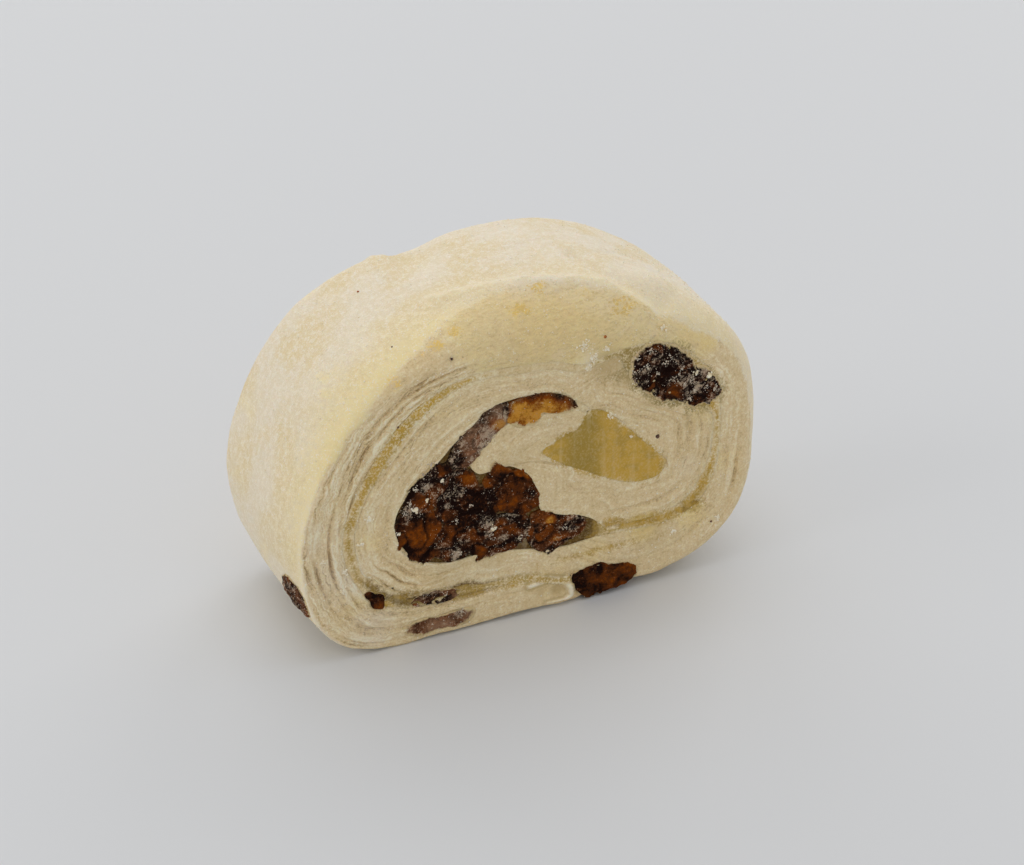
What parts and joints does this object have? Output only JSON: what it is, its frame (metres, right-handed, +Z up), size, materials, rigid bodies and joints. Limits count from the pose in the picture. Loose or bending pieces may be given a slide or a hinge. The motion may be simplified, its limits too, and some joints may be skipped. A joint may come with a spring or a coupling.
{
  "type": "pain aux raisins",
  "caption": "Unbaked slice of rolled raisin pastry: spiral of layered dough with custard and raisins between the turns, standing on the flat side of its roll.",
  "frame": {"origin": "middle of the bounding box on the surface that the roll stands on", "axes": "+Z up, the roll's axis along Y with the pictured cut face towards -Y, +X to the right of that face"},
  "size_m": [0.08, 0.0314, 0.0545],
  "materials": {
    "dough": "floury, unbaked laminated dough",
    "custard": "dull yellow frozen custard",
    "raisin": "cut raisin flesh, dark brown to amber, with frost"
  },
  "bodies": {
    "root": {"dough": "dough", "custard_film": "custard", "custard_pocket": "custard", "raisin_arc_tip": "raisin", "raisin_arc_upper": "raisin", "raisin_arc_lower": "raisin", "raisin_corner": "raisin", "raisin_dark": "raisin", "raisin_lobe": "raisin", "raisin_grey": "raisin", "raisin_right": "raisin", "raisin_shoulder": "raisin", "raisin_shoulder_tail": "raisin", "raisin_seam_corner": "raisin", "raisin_seam_bottom": "raisin", "raisin_under_skin": "raisin", "raisin_under_flap": "raisin", "raisin_side": "raisin", "raisin_back_left": "raisin", "raisin_back_right": "raisin", "raisin_back_low": "raisin", "raisin_back_heart": "raisin"}
  },
  "joints": []
}
